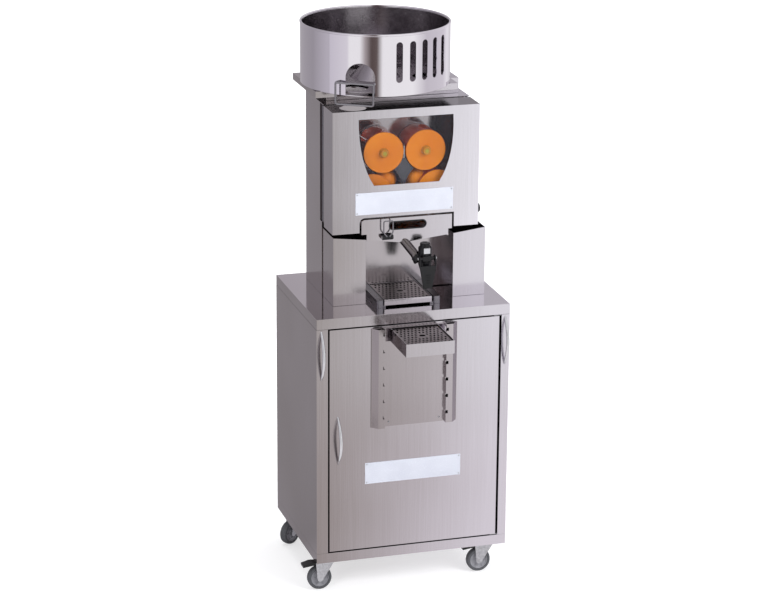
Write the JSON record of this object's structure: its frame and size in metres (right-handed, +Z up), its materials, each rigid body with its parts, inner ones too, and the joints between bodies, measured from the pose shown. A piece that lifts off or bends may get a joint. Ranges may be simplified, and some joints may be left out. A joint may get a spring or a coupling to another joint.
{
  "type": "automatic orange juicer",
  "caption": "Automatic citrus juicer on a wheeled stainless cabinet: round fruit basket, hood with window over geared pressing drums, juice tank with tap, peel bins and a cup tray on the door.",
  "frame": {"origin": "on the floor, under the middle of the whole machine", "axes": "+Z up, -Y towards the front with the door and the tap, +X towards the right as seen by someone who faces the front"},
  "size_m": [0.634, 0.6688, 1.698],
  "materials": {
    "stainless_steel": "finely brushed, near mirror",
    "polished_steel": "polished",
    "dark_steel": "machined",
    "zinc_plate": "zinc plated",
    "grey_rubber": "matt",
    "black_plastic": "satin",
    "orange_plastic": "glossy",
    "grey_plastic": "satin",
    "clear_plastic": "clear",
    "bearing_brass": "machined",
    "motor_paint": "satin"
  },
  "bodies": {
    "cabinet": {"cabinet_body": "stainless_steel", "base_pan": "stainless_steel", "worktop": "stainless_steel", "left_push_handle": "polished_steel", "right_push_handle": "polished_steel", "lower_door_hinge": "zinc_plate", "upper_door_hinge": "zinc_plate", "door_catch": "black_plastic", "housing_shell": "stainless_steel", "rear_cover": "stainless_steel", "main_plate": "stainless_steel", "gear_motor": "motor_paint", "power_inlet": "black_plastic", "bearing_plate": "bearing_brass", "knife_block": "grey_plastic", "knife_blade": "polished_steel", "hood_hinge": "dark_steel", "tray_rails": "stainless_steel", "feeder_plate": "stainless_steel", "feed_basket": "stainless_steel", "basket_guard": "polished_steel"},
    "door": {"door_panel": "stainless_steel", "door_handle": "polished_steel", "tray_rail_bracket": "stainless_steel"},
    "cup_tray": {"cup_tray": "stainless_steel"},
    "cup_tray_grate": {"cup_tray_grate": "stainless_steel"},
    "hood": {"hood": "stainless_steel", "hood_window": "clear_plastic"},
    "hood_knob": {"hood_knob": "black_plastic"},
    "left_peel_bin": {"left_peel_bin": "stainless_steel"},
    "right_peel_bin": {"right_peel_bin": "stainless_steel"},
    "juice_tank": {"juice_tank": "stainless_steel", "tank_strainer": "stainless_steel", "tap_body": "black_plastic"},
    "tap_lever": {"tap_lever": "black_plastic"},
    "tank_clip": {"clip_wire": "polished_steel", "clip_roller": "black_plastic"},
    "drip_tray": {"drip_tray": "stainless_steel"},
    "drip_tray_grate": {"drip_tray_grate": "stainless_steel"},
    "feed_rotor": {"feed_rotor": "stainless_steel"},
    "upper_left_drum": {"upper_left_drum": "orange_plastic", "upper_left_knob": "orange_plastic", "upper_left_shaft": "dark_steel"},
    "upper_right_drum": {"upper_right_drum": "orange_plastic", "upper_right_knob": "orange_plastic", "upper_right_shaft": "dark_steel"},
    "lower_left_drum": {"lower_left_drum": "orange_plastic", "lower_left_shaft": "dark_steel"},
    "lower_right_drum": {"lower_right_drum": "orange_plastic", "lower_right_shaft": "dark_steel"},
    "front_left_swivel": {"front_left_fork": "zinc_plate"},
    "front_left_wheel": {"front_left_wheel": "grey_rubber"},
    "front_left_brake_pedal": {"front_left_brake_pedal": "black_plastic"},
    "front_right_swivel": {"front_right_fork": "zinc_plate"},
    "front_right_wheel": {"front_right_wheel": "grey_rubber"},
    "front_right_brake_pedal": {"front_right_brake_pedal": "black_plastic"},
    "rear_left_swivel": {"rear_left_fork": "zinc_plate"},
    "rear_left_wheel": {"rear_left_wheel": "grey_rubber"},
    "rear_right_swivel": {"rear_right_fork": "zinc_plate"},
    "rear_right_wheel": {"rear_right_wheel": "grey_rubber"}
  },
  "joints": [
    {"name": "door_swing", "type": "hinge", "parent": "cabinet", "child": "door", "pos_m": [0.276, -0.16236, 0.4], "axis": [0, 0, 1], "range_deg": [0, 95]},
    {"name": "cup_tray_height", "type": "slide", "parent": "door", "child": "cup_tray", "axis": [0, 0, -1], "range_m": [0, 0.208]},
    {"name": "cup_tray_grate_lift", "type": "slide", "parent": "cup_tray", "child": "cup_tray_grate", "axis": [0, 0, 1], "range_m": [0, 0.05]},
    {"name": "hood_swing", "type": "hinge", "parent": "cabinet", "child": "hood", "pos_m": [-0.198, 0.05864, 1.28], "axis": [0, 0, -1], "range_deg": [0, 100]},
    {"name": "hood_knob_turn", "type": "hinge", "parent": "hood", "child": "hood_knob", "pos_m": [0.249, -0.03036, 1.138], "axis": [1, 0, 0], "range_deg": [0, 90]},
    {"name": "left_bin_slide", "type": "slide", "parent": "cabinet", "child": "left_peel_bin", "axis": [0, -1, 0], "range_m": [0, 0.15]},
    {"name": "right_bin_slide", "type": "slide", "parent": "cabinet", "child": "right_peel_bin", "axis": [0, -1, 0], "range_m": [0, 0.15]},
    {"name": "tank_slide", "type": "slide", "parent": "cabinet", "child": "juice_tank", "axis": [0, -1, 0], "range_m": [0, 0.12]},
    {"name": "tap_lever_push", "type": "hinge", "parent": "juice_tank", "child": "tap_lever", "pos_m": [0.072, -0.11436, 1.017], "axis": [1, 0, 0], "range_deg": [0, 14], "stiffness_Nm_per_rad": 0.6},
    {"name": "tank_clip_swing", "type": "hinge", "parent": "juice_tank", "child": "tank_clip", "pos_m": [-0.036, -0.06636, 1.078], "axis": [1, 0, 0], "range_deg": [0, 100]},
    {"name": "drip_tray_slide", "type": "slide", "parent": "cabinet", "child": "drip_tray", "axis": [0, -1, 0], "range_m": [0, 0.15]},
    {"name": "drip_tray_grate_lift", "type": "slide", "parent": "drip_tray", "child": "drip_tray_grate", "axis": [0, 0, 1], "range_m": [0, 0.02]},
    {"name": "feed_rotor_turn", "type": "hinge", "parent": "cabinet", "child": "feed_rotor", "pos_m": [-0.025, 0.10964, 1.515], "axis": [0, 0, 1], "continuous": true},
    {"name": "upper_left_drum_turn", "type": "hinge", "parent": "cabinet", "child": "upper_left_drum", "pos_m": [-0.04, 0.00964, 1.328], "axis": [0, 1, 0], "continuous": true},
    {"name": "upper_right_drum_turn", "type": "hinge", "parent": "cabinet", "child": "upper_right_drum", "pos_m": [0.09, 0.00964, 1.328], "axis": [0, 1, 0], "continuous": true},
    {"name": "lower_left_drum_turn", "type": "hinge", "parent": "cabinet", "child": "lower_left_drum", "pos_m": [-0.076, 0.00964, 1.20308], "axis": [0, 1, 0], "continuous": true},
    {"name": "lower_right_drum_turn", "type": "hinge", "parent": "cabinet", "child": "lower_right_drum", "pos_m": [0.126, 0.00964, 1.20308], "axis": [0, 1, 0], "continuous": true},
    {"name": "front_left_swivel_turn", "type": "hinge", "parent": "cabinet", "child": "front_left_swivel", "pos_m": [-0.237, -0.12436, 0.09], "axis": [0, 0, 1], "continuous": true},
    {"name": "front_left_wheel_roll", "type": "hinge", "parent": "front_left_swivel", "child": "front_left_wheel", "pos_m": [-0.263, -0.12436, 0.0375], "axis": [0, -1, 0], "continuous": true},
    {"name": "front_left_brake_press", "type": "hinge", "parent": "front_left_swivel", "child": "front_left_brake_pedal", "pos_m": [-0.273, -0.12436, 0.0877], "axis": [0, -1, 0], "range_deg": [0, 15]},
    {"name": "front_right_swivel_turn", "type": "hinge", "parent": "cabinet", "child": "front_right_swivel", "pos_m": [0.271, -0.12436, 0.09], "axis": [0, 0, 1], "continuous": true},
    {"name": "front_right_wheel_roll", "type": "hinge", "parent": "front_right_swivel", "child": "front_right_wheel", "pos_m": [0.245, -0.12436, 0.0375], "axis": [0, -1, 0], "continuous": true},
    {"name": "front_right_brake_press", "type": "hinge", "parent": "front_right_swivel", "child": "front_right_brake_pedal", "pos_m": [0.235, -0.12436, 0.0877], "axis": [0, -1, 0], "range_deg": [0, 15]},
    {"name": "rear_left_swivel_turn", "type": "hinge", "parent": "cabinet", "child": "rear_left_swivel", "pos_m": [-0.237, 0.25564, 0.09], "axis": [0, 0, 1], "continuous": true},
    {"name": "rear_left_wheel_roll", "type": "hinge", "parent": "rear_left_swivel", "child": "rear_left_wheel", "pos_m": [-0.25855, 0.2411, 0.0375], "axis": [0.5592, -0.829, 0], "continuous": true},
    {"name": "rear_right_swivel_turn", "type": "hinge", "parent": "cabinet", "child": "rear_right_swivel", "pos_m": [0.271, 0.25564, 0.09], "axis": [0, 0, 1], "continuous": true},
    {"name": "rear_right_wheel_roll", "type": "hinge", "parent": "rear_right_swivel", "child": "rear_right_wheel", "pos_m": [0.24589, 0.24891, 0.0375], "axis": [0.2588, -0.9659, 0], "continuous": true}
  ],
  "couplings": [
    {"joint": "upper_right_drum_turn", "follows": "upper_left_drum_turn", "ratio": -1},
    {"joint": "lower_left_drum_turn", "follows": "upper_left_drum_turn", "ratio": -1},
    {"joint": "lower_right_drum_turn", "follows": "upper_left_drum_turn", "ratio": 1}
  ]
}
